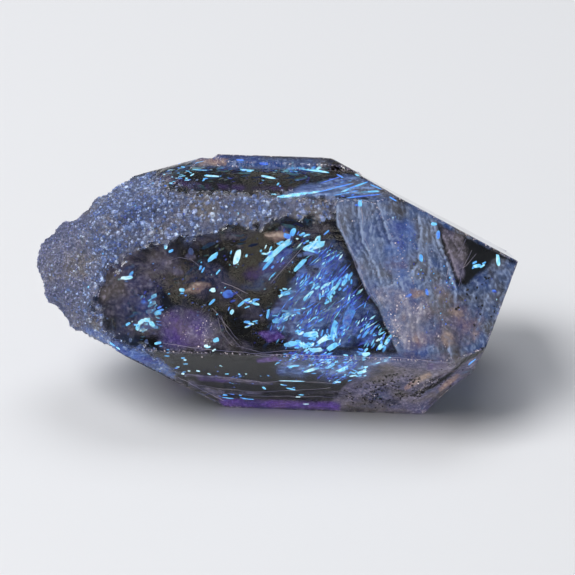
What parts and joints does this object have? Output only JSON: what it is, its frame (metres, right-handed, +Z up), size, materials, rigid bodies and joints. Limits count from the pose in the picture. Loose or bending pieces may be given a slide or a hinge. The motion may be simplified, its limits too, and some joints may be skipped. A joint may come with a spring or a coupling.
{
  "type": "petroleum quartz crystal",
  "caption": "Doubly terminated quartz crystal with sealed fluorescing oil inclusions, lying on a prism face, one end sharp and the other a frosted blunt nose.",
  "frame": {"origin": "middle of the crystal's bounding box, on the surface that it lies on", "axes": "+X along the crystal's long (c) axis towards its sharp tip, +Z up, and the widest upper prism face looks towards -Y"},
  "size_m": [0.03, 0.0142, 0.0147],
  "materials": {
    "quartz": "natural growth faces, clear and glassy, etched and frosted at the blunt end",
    "frosted_quartz": "etched, sugary and matt",
    "petroleum": "oil sealed in cavities, glowing blue under long-wave ultraviolet light",
    "healed_fracture": "thin pearly films inside the crystal",
    "bitumen": "black solid specks sealed inside"
  },
  "bodies": {
    "root": {"quartz_crystal": "quartz"}
  },
  "joints": []
}
